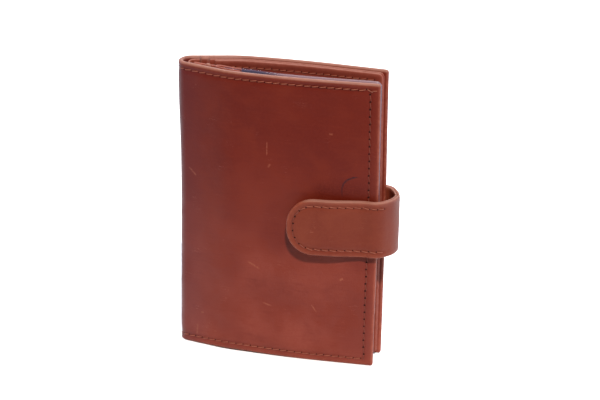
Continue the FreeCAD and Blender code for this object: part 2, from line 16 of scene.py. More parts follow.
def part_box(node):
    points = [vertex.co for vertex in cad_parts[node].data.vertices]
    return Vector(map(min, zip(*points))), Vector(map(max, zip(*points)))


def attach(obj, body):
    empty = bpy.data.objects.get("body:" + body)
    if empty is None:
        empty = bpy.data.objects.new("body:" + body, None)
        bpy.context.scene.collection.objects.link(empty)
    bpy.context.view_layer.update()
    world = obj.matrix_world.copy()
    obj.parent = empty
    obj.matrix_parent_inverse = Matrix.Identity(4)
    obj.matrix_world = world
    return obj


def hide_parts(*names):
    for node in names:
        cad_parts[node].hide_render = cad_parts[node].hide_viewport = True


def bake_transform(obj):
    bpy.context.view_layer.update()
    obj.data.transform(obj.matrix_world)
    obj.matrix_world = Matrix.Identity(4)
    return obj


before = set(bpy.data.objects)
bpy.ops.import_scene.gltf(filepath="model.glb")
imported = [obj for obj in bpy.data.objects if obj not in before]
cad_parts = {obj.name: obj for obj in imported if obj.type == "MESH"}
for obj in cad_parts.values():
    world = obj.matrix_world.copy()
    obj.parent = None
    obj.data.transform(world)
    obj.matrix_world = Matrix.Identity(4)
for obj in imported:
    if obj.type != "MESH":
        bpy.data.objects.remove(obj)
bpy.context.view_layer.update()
MM = 0.001


def node_box(name):
    """Lowest and highest corner of a CAD node, in millimetres."""
    low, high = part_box(name)
    return np.array(low) / MM, np.array(high) / MM


# ---- the wallet's sizes ----
SPINE_X = node_box("spine_leather")[0][0]
(LEAF_X, _, _), (EDGE_X, BACK_SEEN, HEIGHT) = node_box("back_cover_leather")
FRONT_SEEN = node_box("front_cover_leather")[0][1]
MID_Y = (BACK_SEEN + FRONT_SEEN) / 2

EDGE_HALF = 9.2           # the covers' half depth at the free edge
CROWN_HALF = 11.3         # where a cover's straight runs would meet
CROWN_FROM_SPINE = 47.0
CROWN_RADIUS = 330.0
SHOULDER_HALF = 10.0
SHOULDER_RADIUS = 40.0
NOSE_RADIUS = 5.0
LINING_NOSE_RADIUS = 3.2
LINING_NOSE_SET_IN = 3.9
FLARE = 0.17              # the leaves gape by this share at the top and close below
SPINE_LEAN = 1.3          # the spine's top leans out by this much
BACK_DRAWN_IN, FRONT_DRAWN_IN = 0.8, 0.6    # the free edges, at the back's top and the front's foot
STRAP_PINCH, PINCH_REACH = 1.3, 26.0        # the strap pulls the front's edge back, this far up and down
FOOT_LIFT = 0.55          # the front's foot rises beside the spine

COVER_THICKNESS = 2.1
COVER_CORNER = 1.3
SEAM_INSET = 4.0
TOP_SEAM_INSET = 2.9
DIVIDER_DEPTH = 2.35
DIVIDER_THICKNESS = 0.8
PANEL_INSET = 1.5
PANEL_END_INSET = 0.8
PANEL_CORNER = 2.0
# near and far depth of the inner pieces, from their leaf's outer face
BASE_PANEL, BACK_HEM = (3.75, 4.75), (2.0, 4.9)
WINDOW_FILM, WINDOW_FRAME, FRONT_HEM = (3.5, 3.8), (3.9, 4.9), (3.6, 5.3)
SLOT_GAP, SLOT_THICKNESS = 0.1, 0.8
HIDDEN_SEAM_INSET = 2.6   # from the edge of a slot or the window to its seam

(TAB_TIP_X, _, TAB_LOW), (_, _, TAB_HIGH) = node_box("tab_flap_leather")
TAB_MID = (TAB_LOW + TAB_HIGH) / 2
TAB_ANCHOR_X = node_box("tab_anchor_leather")[0][0]
LOOP_X = node_box("tab_loop_leather")[1][0]
TAB_LEATHER, TAB_LINING, TAB_GAP = 1.2, 1.0, 2.0
TAB_GAP_AT_EDGE = 0.4     # the strap stands off at the press stud and lies on at the edge
TIP_CURL = 1.1            # and its tip curls out by this much more
LAYER_GAP = 0.02          # between the strap's leather and its lining
TAB_TIP_CORNER = 11.4
TAB_SEAM_INSET = 2.7
FLAP_SEAM_PAST = 3.0      # the flap's stitching runs this far past the covers' edge

STITCH_PITCH = 3.25       # eight to the inch
STITCH_HALF = STITCH_PITCH * 0.43    # a stitch's half length, short of its needle holes
STITCH_SLANT, STITCH_SINK, HOLE_SINK = 0.16, 0.27, 0.22
THREAD_RADIUS = 0.20
CELL = 0.9                # the plates' usual grid
RIM_STEPS = 5             # round a plate's rim, from face to face


# ---- plan routes ----
def spun(vector, angle):
    """A plan vector turned anticlockwise."""
    c, s = math.cos(angle), math.sin(angle)
    return np.array((vector[0] * c - vector[1] * s, vector[0] * s + vector[1] * c))


def turned(corners, step=math.radians(4)):
    """Points through corners (x, y, radius), each turned by an arc."""
    points = [np.array(corners[0][:2], float)]
    for (ax, ay, _), (x, y, radius), (bx, by, _) in zip(corners, corners[1:], corners[2:]):
        at = np.array((x, y), float)
        back, on = np.array((ax, ay)) - at, np.array((bx, by)) - at
        back, on = back / np.linalg.norm(back), on / np.linalg.norm(on)
        half = math.acos(np.clip(back @ on, -1, 1)) / 2
        middle = (back + on) / np.linalg.norm(back + on)
        centre = at + middle * radius / math.sin(half)
        start = at + back * radius / math.tan(half) - centre
        sweep = (math.pi - 2 * half) * math.copysign(1, back[1] * on[0] - back[0] * on[1])
        count = max(6, int(abs(sweep) / step))
        points += [centre + spun(start, turn) for turn in np.linspace(0, sweep, count + 1)]
    points.append(np.array(corners[-1][:2], float))
    return points


class Route:
    """A plan curve read by arc length. Depth is measured towards its left hand."""

    def __init__(self, points, left=1):
        keep = [points[0]]
        for point in points[1:]:
            if np.linalg.norm(point - keep[-1]) > 1e-4:
                keep.append(point)
        self.at = np.array(keep)
        runs = np.diff(self.at, axis=0)
        lengths = np.linalg.norm(runs, axis=1)
        self.along = np.concatenate([[0], np.cumsum(lengths)])
        self.length = self.along[-1]
        normals = np.stack([-runs[:, 1], runs[:, 0]], 1) / lengths[:, None] * left
        joined = np.vstack([normals[:1], normals[:-1] + normals[1:], normals[-1:]])
        self.normal = joined / np.linalg.norm(joined, axis=1)[:, None]

    def __call__(self, along, depth):
        """X and Y at these arc lengths and depths. The ends run on straight."""
        along = np.asarray(along, float)
        inside = np.clip(along, 0, self.length)
        out = []
        for axis in (0, 1):
            place = np.interp(inside, self.along, self.at[:, axis])
            normal = np.interp(inside, self.along, self.normal[:, axis])
            out.append(place + normal * depth)
        spare = along - inside
        first, last = self.at[1] - self.at[0], self.at[-1] - self.at[-2]
        first, last = first / np.linalg.norm(first), last / np.linalg.norm(last)
        for axis in (0, 1):
            out[axis] = out[axis] + np.where(spare < 0, first[axis], last[axis]) * spare
        return out[0], out[1]


def face_route(depth, edge_x, nose_radius, nose_set_in=0.0):
    """A plan face this deep in the covers, from the back free edge round its nose to the front one."""
    run, shoulder = LEAF_X - SPINE_X - nose_set_in - nose_radius, SHOULDER_HALF - depth
    slope = math.tan(math.atan2(shoulder, run) - math.asin(nose_radius / math.hypot(run, shoulder)))
    half = [
        (edge_x, EDGE_HALF - depth, 0),
        (SPINE_X + CROWN_FROM_SPINE, CROWN_HALF - depth, CROWN_RADIUS - depth),
        (LEAF_X, shoulder, SHOULDER_RADIUS - depth),
        (LEAF_X - shoulder / slope, 0, nose_radius),
    ]
    back = [(x, MID_Y + y, r) for x, y, r in half]
    front = [(x, MID_Y - y, r) for x, y, r in reversed(half[:-1])]
    return Route(turned(back + front))


COVER = face_route(0, EDGE_X, NOSE_RADIUS)
LINING = face_route(DIVIDER_DEPTH, EDGE_X - PANEL_INSET, LINING_NOSE_RADIUS, LINING_NOSE_SET_IN)


def leaf(side):
    """Places (x, depth) on a leaf: side is +1 for the back and -1 for the front."""
    def place(x, depth):
        along = EDGE_X - np.asarray(x, float)
        return COVER(along if side > 0 else COVER.length - along, depth)
    return place


def smooth(value, low, high):
    t = np.clip((np.asarray(value, float) - low) / (high - low), 0, 1)
    return t * t * (3 - 2 * t)


def shape(x, y, z):
    """The wallet's own set: it gapes at the top, its spine leans, the strap pinches its edges."""
    gape = 1 + FLARE * (z / HEIGHT - 0.5) * 2
    lean = smooth(z, 0.55 * HEIGHT, HEIGHT) * (1 - smooth(x, SPINE_X, LEAF_X))
    back = smooth(y, MID_Y - 1, MID_Y + 3)
    edge = smooth(x, 0, EDGE_X)
    drawn_in = (back * smooth(z, 0.4 * HEIGHT, HEIGHT) * BACK_DRAWN_IN
                + (1 - back) * (1 - smooth(z, 0, 0.6 * HEIGHT)) * FRONT_DRAWN_IN)
    pinch = STRAP_PINCH * (1 - back) * smooth(x, 16, EDGE_X) * np.exp(-(((z - TAB_MID) / PINCH_REACH) ** 2))
    lift = FOOT_LIFT * (1 - back) * np.exp(-(((x + 20) / 17) ** 2)) * (1 - smooth(z, 0, 0.3 * HEIGHT))
    return x - SPINE_LEAN * lean - edge * drawn_in, MID_Y + (y - MID_Y) * gape + pinch, z + lift


# ---- plates ----
def outline(corners, step=0.7):
    """A closed, evenly divided outline through corners (u, v, radius)."""
    closed = [corners[-1]] + corners + [corners[0]]
    points = turned(closed, math.radians(9))[1:-1]
    loop = []
    for one, two in zip(points, points[1:] + points[:1]):
        count = max(1, int(np.linalg.norm(two - one) / step))
        if np.linalg.norm(two - one) > 1e-4:
            loop += [one + (two - one) * i / count for i in range(count)]
    return np.array(loop)


def rectangle(u_low, u_high, v_low, v_high, left=0.3, right=0.3):
    """A rectangle's outline, anticlockwise, with a corner radius for each end."""
    return outline([
        (u_low, v_low, left), (u_high, v_low, right),
        (u_high, v_high, right), (u_low, v_high, left),
    ])


def outward(loop):
    """Unit normals of a closed outline, away from the plate."""
    run = np.roll(loop, -1, 0) - np.roll(loop, 1, 0)
    normal = np.stack([run[:, 1], -run[:, 0]], 1)
    return normal / np.linalg.norm(normal, axis=1)[:, None]


def inside(points, loop):
    """Which points lie inside a closed outline."""
    x, y = points[:, 0][:, None], points[:, 1][:, None]
    ax, ay = loop[:, 0], loop[:, 1]
    bx, by = np.roll(ax, -1), np.roll(ay, -1)
    crosses = (ay > y) != (by > y)
    at = ax + (y - ay) * (bx - ax) / np.where(by == ay, 1e-9, by - ay)
    return (crosses & (x < at)).sum(1) % 2 == 1


def within(points, loops):
    """Which points lie inside the first outline and outside the holes."""
    keep = inside(points, loops[0])
    for hole in loops[1:]:
        keep &= ~inside(points, hole)
    return keep


def distance(points, line, closed=True):
    """Distance of each point to a polyline."""
    ends = np.roll(line, -1, 0) if closed else line[1:]
    starts = line if closed else line[:-1]
    best = np.full(len(points), 1e9)
    for one, two in zip(starts, ends):
        run = two - one
        t = np.clip(((points - one) @ run) / max(run @ run, 1e-9), 0, 1)
        best = np.minimum(best, np.linalg.norm(points - one - t[:, None] * run, axis=1))
    return best


def rough(points, scale, seed):
    """Smooth noise about 0 at each flat point."""
    return np.array([noise.noise(Vector((u / scale, v / scale, seed))) for u, v in points])


class Press:
    """What is pressed into a plate's face: seams, one creased line, a raised border and unevenness."""

    GROOVE_WIDTH, GROOVE_SHOULDER, SEAM_WIDTH = 0.7, 2.2, 0.9
    CREASE_DEPTH, CREASE_WIDTH = 0.16, 0.45
    WAVE, RIPPLE = 22, 7

    def __init__(self, seams=(), crease=None, swell=0.03, uneven=0.10, seed=0.0, groove=0.24):
        self.seams, self.crease = seams, crease
        self.swell, self.uneven, self.seed, self.groove = swell, uneven, seed, groove

    def seam_distance(self, points):
        near = np.full(len(points), 1e3)
        for line, closed in self.seams:
            near = np.minimum(near, distance(points, line, closed))
        return near

    def seam_share(self, points):
        """1 on a seam, and fading to 0 beside it."""
        return np.exp(-(self.seam_distance(points) / self.SEAM_WIDTH) ** 2)

    def heights(self, points, to_edge):
        near = self.seam_distance(points)
        high = -self.groove * np.exp(-(near / self.GROOVE_WIDTH) ** 2)
        high -= 0.5 * self.groove * np.exp(-(near / self.GROOVE_SHOULDER) ** 2)
        if self.crease is not None:
            near = distance(points, self.crease, False)
            high -= self.CREASE_DEPTH * np.exp(-(near / self.CREASE_WIDTH) ** 2)
        high += self.swell * np.exp(-((to_edge - 1.7) / 1.0) ** 2)
        high += self.uneven * rough(points, self.WAVE, self.seed)
        high += 0.35 * self.uneven * rough(points, self.RIPPLE, self.seed + 5)
        return high * (1 - np.exp(-(to_edge / 1.2) ** 2))


def rim_offsets(loop, rim, cut_at):
    """From the outline in to where its rim starts to round; a cut end has no rim."""
    offset = outward(loop) * rim
    if cut_at is not None:
        end = np.abs(loop[:, 0] - cut_at) < 1e-6
        sides = np.sign(loop[:, 1] - loop[:, 1].mean())
        corner = end & (np.abs(loop[:, 1] - loop[:, 1].mean()) > np.ptp(loop[:, 1]) / 2 - 1e-6)
        offset[end] = 0
        offset[corner] = np.stack([np.zeros(corner.sum()), sides[corner] * rim], 1)
    return offset


def rim_line(loop, cut_at):
    """A closed outline as the polyline that is worn: without its cut end."""
    if cut_at is None:
        return loop, True
    end = np.abs(loop[:, 0] - cut_at) < 1e-6
    start = next(i for i in range(len(loop)) if end[i] and not end[(i + 1) % len(loop)])
    line = np.roll(loop, -start, 0)
    last = next(i for i in range(1, len(line)) if abs(line[i, 0] - cut_at) < 1e-6)
    return line[:last + 1], False


def filled(inner, low, high, cell):
    """Flat points and triangles between outlines, and where each outline point went."""
    us = np.arange(low[0] + cell / 2, high[0], cell)
    vs = np.arange(low[1] + cell / 2, high[1], cell)
    grid = np.stack(np.meshgrid(us, vs), -1).reshape(-1, 2)
    grid = grid[within(grid, inner)]
    for loop in inner:
        grid = grid[distance(grid, loop) > 0.55 * cell]

    edges, start = [], 0
    for loop in inner:
        count = len(loop)
        edges += [(start + i, start + (i + 1) % count) for i in range(count)]
        start += count
    made = delaunay_2d_cdt([Vector(p) for p in np.vstack(inner + [grid])], edges, [], 0, 1e-5)
    flat = np.array([tuple(p) for p in made[0]])
    source = {old: i for i, olds in enumerate(made[3]) for old in olds}
    faces = np.array([f for f in made[2] if len(f) == 3])
    faces = faces[within(flat[faces].mean(1), inner)]
    turn = np.cross(flat[faces[:, 1]] - flat[faces[:, 0]], flat[faces[:, 2]] - flat[faces[:, 0]])
    faces[turn < 0] = faces[turn < 0][:, ::-1]
    return flat, faces, source


def plate(name, loops, near, far, place, press=None, cell=CELL, rim=None, underside=None, cut_at=None):
    """A closed sheet between two depths. loops[0] is its outline, the rest are holes.

    press and underside shape its two faces. cut_at is the place along the plate of a
    square end that meets another plate.
    """
    thick = far - near
    rim = min(0.95, 0.55 * thick) if rim is None else rim
    press = press or Press(uneven=0.04)
    loops = [loops[0]] + [hole[::-1] for hole in loops[1:]]
    offsets = [rim_offsets(loop, rim, cut_at) for loop in loops]
    inner = [loop - offset for loop, offset in zip(loops, offsets)]
    flat, faces, source = filled(inner, loops[0].min(0), loops[0].max(0), cell)

    count = len(flat)
    to_edge = np.minimum.reduce([distance(flat, *rim_line(loop, cut_at)) for loop in loops])
    lift, under, seam_under = press.heights(flat, to_edge), np.zeros(count), np.zeros(count)
    if underside is not None:
        under, seam_under = underside.heights(flat, to_edge), underside.seam_share(flat)
    uv = [flat, flat]
    depth = [near - lift, far + under]
    worn = [np.exp(-to_edge / 0.7)] * 2
    seams = [press.seam_share(flat), seam_under]
    polygons = [tuple(f) for f in faces] + [tuple(count + i for i in f[::-1]) for f in faces]

    total, start = 2 * count, 0
    caps = []
    for loop, edge, offset in zip(loops, inner, offsets):
        size = len(loop)
        end = np.zeros(size, bool) if cut_at is None else np.abs(loop[:, 0] - cut_at) < 1e-6
        end &= np.roll(end, -1)
        top = [source[start + i] for i in range(size)]
        last = top
        for step in range(1, RIM_STEPS + 1):
            here = [count + i for i in top]
            if step < RIM_STEPS:
                turn = math.pi * step / RIM_STEPS
                uv.append(edge + offset * math.sin(turn))
                depth.append(np.full(size, near + thick / 2 * (1 - math.cos(turn))))
                worn.append(np.ones(size))
                seams.append(np.zeros(size))
                here = list(range(total, total + size))
                total += size
            caps += [len(polygons) + i for i in np.flatnonzero(end)]
            polygons += [(last[i], here[i], here[(i + 1) % size], last[(i + 1) % size]) for i in range(size)]
            last = here
        start += size

    uv, depth = np.vstack(uv), np.concatenate(depth)
    x, y = place(uv[:, 0], depth)
    points = np.stack(shape(x, y, uv[:, 1]), 1)
    flat_mm = np.stack([uv[:, 0], uv[:, 1], depth], 1)
    faces = [face[::-1] for face in polygons]
    piece = mesh_piece(name, points, faces, flat_mm, np.concatenate(worn), np.concatenate(seams))
    for index in caps:
        piece.data.polygons[index].use_smooth = False
    return piece


def mesh_piece(name, points, faces, flat_mm, worn=None, seams=None):
    """A smooth mesh object whose materials read its rest place from flat_mm."""
    mesh = bpy.data.meshes.new(name)
    mesh.from_pydata((points * MM).tolist(), [], [tuple(int(i) for i in f) for f in faces])
    shell = bmesh.new()
    shell.from_mesh(mesh)
    bmesh.ops.recalc_face_normals(shell, faces=shell.faces)
    shell.to_mesh(mesh)
    shell.free()
    mesh.shade_smooth()
    for key, value in {"worn": worn, "seam": seams}.items():
        layer = mesh.attributes.new(key, "FLOAT", "POINT")
        value = np.zeros(len(points)) if value is None else value
        layer.data.foreach_set("value", value.astype(np.float32))
    layer = mesh.attributes.new("flat_mm", "FLOAT_VECTOR", "POINT")
    layer.data.foreach_set("vector", flat_mm.astype(np.float32).ravel())
    piece = bpy.data.objects.new(name, mesh)
    bpy.context.scene.collection.objects.link(piece)
    return piece


def dress(piece, material, slot, *nodes):
    """Gives a piece its material and hides the CAD nodes it stands for. slot is not used."""
    piece.data.materials.clear()
    piece.data.materials.append(material)
    if nodes:
        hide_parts(*nodes)


def rigid(body, material, slot, nodes, *about, **more):
    """A dressed plate that rides on one body."""
    piece = plate(*about, **more)
    dress(piece, material, slot, *nodes)
    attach(piece, body)
    return piece


# ---- stitches ----
def resample(line, pitch, closed=False):
    """Points at an even pitch along a flat line, with the direction at each."""
    line = np.vstack([line, line[:1]]) if closed else line
    lengths = np.linalg.norm(np.diff(line, axis=0), axis=1)
    along = np.concatenate([[0], np.cumsum(lengths)])
    count = max(1, round(along[-1] / pitch))
    marks = (np.arange(count) + 0.5) * along[-1] / count
    at = np.stack([np.interp(marks, along, line[:, i]) for i in (0, 1)], 1)
    run = []
    for mark in marks:
        before, after = [np.array([np.interp(mark + way, along, line[:, i]) for i in (0, 1)])
                         for way in (-0.4, 0.4)]
        run.append((after - before) / np.linalg.norm(after - before))
    return at, np.array(run)


def tube(faces, base, around, rings):
    """Closes rings of points, numbered from base, into a tube with two ends."""
    for ring in range(rings - 1):
        for k in range(around):
            one, two = base + ring * around + k, base + ring * around + (k + 1) % around
            faces.append((one, two, two + around, one + around))
    faces.append(tuple(base + k for k in range(around))[::-1])
    faces.append(tuple(base + (rings - 1) * around + k for k in range(around)))


def stitches(name, lines, depth, place, out=-1):
    """Separate stitches along flat lines, and the needle holes between them.

    out is -1 where the thread shows on the side of lesser depth, and +1 on the other.
    """
    around, steps = 8, 9
    points, faces, flat_mm = [], [], []
    holes, hole_faces, hole_flat = [], [], []
    number = 0
    for line, closed in lines:
        at, run = resample(line, STITCH_PITCH, closed)
        for centre, direction in zip(at, run):
            side = np.array((-direction[1], direction[0]))
            slant = STITCH_SLANT + 0.05 * math.sin(number * 2.4)
            direction, side = direction + side * slant, side - direction * slant
            upright = abs(direction[1])
            base = len(points)
            for i in range(steps):
                t = 2 * i / (steps - 1) - 1
                fat = THREAD_RADIUS * (1 - 0.45 * abs(t) ** 3)
                lift = (THREAD_RADIUS * 0.75 + 0.05) * (1 - abs(t) ** 2.6) - STITCH_SINK - 0.07 * upright
                for k in range(around):
                    turn = 2 * math.pi * k / around
                    uv = centre + direction * STITCH_HALF * t + side * fat * math.cos(turn)
                    high = lift + fat * 0.8 * math.sin(turn)
                    points.append((uv[0], uv[1], depth + out * high))
                    flat_mm.append((t * STITCH_HALF + number * 0.37, turn, upright))
            tube(faces, base, around, steps)
            add_hole(holes, hole_faces, hole_flat, centre + direction * STITCH_PITCH * 0.5, depth, out,
                     0.25 + 0.16 * upright)
            number += 1
    thread = laid(name, points, faces, flat_mm, place)
    hole = laid(name + "_needle_holes", holes, hole_faces, hole_flat, place)
    return thread, hole


def add_hole(points, faces, flat_mm, centre, depth, out, size):
    """A needle hole: a small dark lens at the foot of the pressed seam, painted shade inside the hole."""
    around = 10
    base = len(points)
    for share, high in ((0.6, 0.07), (1.0, 0.0), (0.6, -0.08)):
        for k in range(around):
            turn = 2 * math.pi * k / around
            uv = centre + np.array((math.cos(turn), math.sin(turn))) * size * share
            points.append((uv[0], uv[1], depth + out * (high - HOLE_SINK)))
            flat_mm.append((uv[0], uv[1], high))
    tube(faces, base, around, 3)


def laid(name, points, faces, flat_mm, place):
    """A mesh from points (along, up, depth) on a route."""
    points = np.array(points)
    x, y = place(points[:, 0], points[:, 2])
    return mesh_piece(name, np.stack(shape(x, y, points[:, 1]), 1), faces, np.array(flat_mm, float))


# ---- materials ----
class Tree:
    """A material's nodes, made one call at a time."""

    def __init__(self, name):
        self.material = bpy.data.materials.new(name)
        self.material.use_nodes = True
        self.tree = self.material.node_tree
        self.shader = self.tree.nodes["Principled BSDF"]

    def node(self, kind, inputs=(), **settings):
        made = self.tree.nodes.new(kind)
        for key, value in settings.items():
            setattr(made, key, value)
        for key, value in dict(inputs).items():
            self.put(made.inputs[key], value)
        return made

    def put(self, socket, value):
        """Links an output to a socket, or sets the socket's value."""
        if isinstance(value, bpy.types.NodeSocket):
            self.tree.links.new(value, socket)
        else:
            socket.default_value = value

    def attribute(self, name, output="Fac"):
        return self.node("ShaderNodeAttribute", attribute_name=name).outputs[output]

    def maths(self, operation, one, two=0.0):
        return self.node("ShaderNodeMath", {0: one, 1: two}, operation=operation).outputs[0]

    def times(self, one, two):
        return self.maths("MULTIPLY", one, two)

    def split(self, vector):
        return self.node("ShaderNodeSeparateXYZ", {"Vector": vector}).outputs

    def noise(self, place, scale, detail, roughness, stretch=(1, 1, 1), turn=0.0, distortion=0.0):
        mapped = self.node(
            "ShaderNodeMapping", {"Vector": place, "Scale": stretch, "Rotation": (0, 0, turn)}).outputs[0]
        return self.node("ShaderNodeTexNoise", {
            "Vector": mapped, "Scale": scale, "Detail": detail, "Roughness": roughness,
            "Distortion": distortion}).outputs["Fac"]

    def ramp(self, value, low, high, to_low=0.0, to_high=1.0):
        return self.node("ShaderNodeMapRange", {
            "Value": value, "From Min": low, "From Max": high, "To Min": to_low, "To Max": to_high,
        }, interpolation_type="SMOOTHSTEP").outputs["Result"]

    def mix(self, share, one, two):
        one, two = [tone if isinstance(tone, bpy.types.NodeSocket) else (*tone, 1.0) for tone in (one, two)]
        return self.node("ShaderNodeMix", {0: share, 6: one, 7: two}, data_type="RGBA").outputs[2]

    def bump(self, height, distance, strength=1.0, under=None):
        inputs = {"Height": height, "Distance": distance, "Strength": strength}
        if under is not None:
            inputs["Normal"] = under
        return self.node("ShaderNodeBump", inputs).outputs[0]

    def finish(self, **inputs):
        for key, value in inputs.items():
            self.put(self.shader.inputs[key.replace("_", " ")], value)
        return self.material


def mark_and_shade_mask(t, at, along, up, length, turn, width, strength, curl=0.0):
    """A short mark on the leather, or a wider patch of painted shade: its middle, length, direction in
    degrees, width and bend.
    """
    local = t.node("ShaderNodeVectorMath", {0: at, 1: (along, up, 0)}, operation="SUBTRACT").outputs[0]
    local = t.node("ShaderNodeVectorRotate", {"Vector": local, "Angle": math.radians(-turn)},
                   rotation_type="Z_AXIS").outputs[0]
    apart = t.split(local)
    far = t.maths("ABSOLUTE", apart[0])
    bowed = t.times(t.maths("POWER", far, 2), curl)
    side = t.maths("ABSOLUTE", t.maths("ADD", apart[1], bowed))
    ends = t.ramp(far, length * 0.3, length / 2, 1, 0)
    mask = t.times(t.ramp(side, 0, width, strength, 0), ends)
    return t.times(mask, t.ramp(t.noise(at, 1.1, 3, 0.6), 0.35, 0.6, 0.3, 1.0))


def leather(name, base, dark, light, worn, low=None, grain=1.0, rough=0.46, scratches=1.0,
            marks=(), shade=(), highlight_height=None):
    """Waxed pull-up leather: softly mottled, finely grained, paler where it bends or rubs.

    low is a paler tone near the foot: painted light, the glow the floor throws up at the leather. The last
    argument is the height of a top edge that gets a painted tan highlight where the light from above catches
    it.
    """
    t = Tree(name)
    at = t.attribute("flat_mm", "Vector")
    across, height = t.split(at)[:2]
    # painted light: paler towards the foot, where the floor's glow falls
    colour = t.mix(t.ramp(height, 0.05 * HEIGHT, 0.85 * HEIGHT), low or base, base)

    # mottling, flecks and a brushed nap
    wide = t.noise(at, 0.030, 2, 0.5)
    cloud = t.noise(at, 0.075, 4, 0.55, distortion=0.4)
    fleck = t.noise(at, 0.9, 4, 0.6)
    brushed = t.noise(at, 0.45, 4, 0.65, stretch=(0.22, 1.5, 1))
    for share, tone in (
        (t.ramp(wide, 0.35, 0.65, 0.0, 0.5), dark),
        (t.ramp(cloud, 0.46, 0.72, 0, 0.40), light),
        (t.ramp(cloud, 0.26, 0.46, 0.30, 0), dark),
        (t.ramp(fleck, 0.35, 0.75, 0.0, 0.22), light),
        (t.ramp(brushed, 0.50, 0.72, 0.0, 0.20), light),
        (t.ramp(brushed, 0.28, 0.48, 0.18, 0.0), dark),
    ):
        colour = t.mix(share, colour, tone)

    # fine scratches in a few patches, then the single marks with the painted shade above the strap among
    # them, and the shaded folds
    streak = t.noise(at, 0.30, 4, 0.6, stretch=(0.25, 1.6, 1), turn=0.35)
    line = t.maths("ABSOLUTE", t.maths("SUBTRACT", streak, 0.5))
    patch = t.ramp(t.noise(at, 0.13, 2, 0.5, turn=1.0), 0.60, 0.68)
    scratch = t.times(t.ramp(line, 0.0, 0.005, 1, 0), patch)
    colour = t.mix(t.times(scratch, 0.22 * scratches), colour, worn)
    for *mark, tone in marks:
        colour = t.mix(mark_and_shade_mask(t, at, *mark), colour, tone)
    for centre, reach, share, tone in shade:
        near = t.maths("ABSOLUTE", t.maths("SUBTRACT", across, centre))
        colour = t.mix(t.ramp(near, 0, reach, share, 0), colour, tone)

    # edges and seams
    edge = t.attribute("worn")
    rubbed = t.times(edge, t.ramp(t.noise(at, 0.5, 3, 0.6), 0.25, 0.7, 0.15, 0.42))
    colour = t.mix(rubbed, colour, worn)
    # painted highlight: the top edge turns tan where the light from above catches it
    if highlight_height:
        upper = t.times(edge, t.ramp(height, highlight_height - 1.6, highlight_height - 0.4, 0, 0.65))
        colour = t.mix(upper, colour, TOP_EDGE_HIGHLIGHT)
    colour = t.mix(t.times(t.attribute("seam"), 0.25), colour, dark)

    cells = t.node("ShaderNodeTexVoronoi", {"Vector": at, "Scale": 1.3, "Randomness": 1.0},
                   feature="SMOOTH_F1").outputs["Distance"]
    pebble = t.maths("ADD", t.times(cells, 0.55), t.noise(at, 2.6, 4, 0.65))
    fold = t.noise(at, 0.22, 5, 0.55, distortion=0.8)
    normal = t.bump(pebble, 0.00008 * grain, 0.45)
    normal = t.bump(fold, 0.0006, 0.12, normal)
    normal = t.bump(scratch, -0.0001, 0.4, normal)
    shine = t.ramp(cloud, 0.25, 0.75, rough - 0.06, rough + 0.08)
    return t.finish(Base_Color=colour, Roughness=shine, Normal=normal, Specular_IOR_Level=0.20)


def thread_material():
    """Twisted, waxed thread, close in tone to the leather; upright stitches get painted shade, as the light
    from above misses them.
    """
    t = Tree("waxed_thread")
    at = t.attribute("flat_mm", "Vector")
    along, around, upright = t.split(at)
    turn = t.maths("ADD", t.times(along, 5.0), around)
    ply = t.maths("SINE", t.times(turn, 2.0))
    tone = t.noise(at, 0.9, 2, 0.5)
    colour = t.mix(t.ramp(tone, 0.3, 0.7), (0.21, 0.043, 0.020), (0.32, 0.095, 0.050))
    # painted shade: upright stitches are darker, as the light from above misses them
    colour = t.mix(t.ramp(upright, 0.3, 0.9, 0, 0.75), colour, (0.105, 0.012, 0.005))
    colour = t.mix(t.ramp(ply, -1, 0.2, 0.45, 0), colour, (0.12, 0.02, 0.010))
    return t.finish(Base_Color=colour, Roughness=t.ramp(tone, 0.2, 0.8, 0.5, 0.7),
                    Normal=t.bump(ply, 0.00006, 0.7), Specular_IOR_Level=0.35)


def hole_material():
    """Dark, and nearly without shine: painted shade inside the needle holes."""
    t = Tree("needle_hole")
    tone = t.noise(t.attribute("flat_mm", "Vector"), 3.0, 2, 0.5)
    colour = t.mix(t.ramp(tone, 0.3, 0.7), (0.010, 0.002, 0.002), (0.028, 0.006, 0.004))
    return t.finish(Base_Color=colour, Roughness=t.ramp(tone, 0.2, 0.8, 0.75, 0.95), Specular_IOR_Level=0.1)


def film_material():
    """Clear vinyl: see-through on its faces, pale near its cut edge as a painted reflection of the light
    there, fainter towards the spine.
    """
    t = Tree("clear_vinyl")
    at = t.attribute("flat_mm", "Vector")
    # painted reflection: pale and more opaque near the film's edge, fainter towards the spine
    edge_reflection = t.ramp(t.attribute("worn"), 0.03, 0.22)
    edge = t.times(edge_reflection, t.ramp(t.split(at)[0], -14, 0, 0.25, 1))
    haze = t.noise(at, 0.06, 3, 0.5)
    colour = t.mix(edge, (0.07, 0.07, 0.13), (0.24, 0.145, 0.165))
    clear = t.maths("MAXIMUM", t.ramp(haze, 0.3, 0.7, 0.12, 0.22), t.times(edge, 0.92))
    ripple = t.noise(at, 0.09, 2, 0.5, stretch=(1, 0.3, 1))
    return t.finish(Base_Color=colour, Alpha=clear, Roughness=t.ramp(haze, 0.2, 0.8, 0.12, 0.24),
                    Normal=t.bump(ripple, 0.0012, 0.25), Specular_IOR_Level=0.5)


def cloth_material():
    """Dark navy plain weave."""
    t = Tree("navy_lining_cloth")
    at = t.attribute("flat_mm", "Vector")
    warp, weft = [t.maths("SINE", t.times(way, 14.0)) for way in t.split(at)[:2]]
    weave = t.times(warp, weft)
    tone = t.noise(at, 0.2, 4, 0.6)
    colour = t.mix(t.ramp(tone, 0.3, 0.7), (0.010, 0.013, 0.050), (0.022, 0.026, 0.085))
    colour = t.mix(t.ramp(weave, -1, 1, 0, 0.5), colour, (0.045, 0.050, 0.13))
    return t.finish(Base_Color=colour, Roughness=t.ramp(tone, 0.2, 0.8, 0.7, 0.85),
                    Normal=t.bump(weave, 0.00006, 0.6), Sheen_Weight=0.3, Sheen_Roughness=0.5)


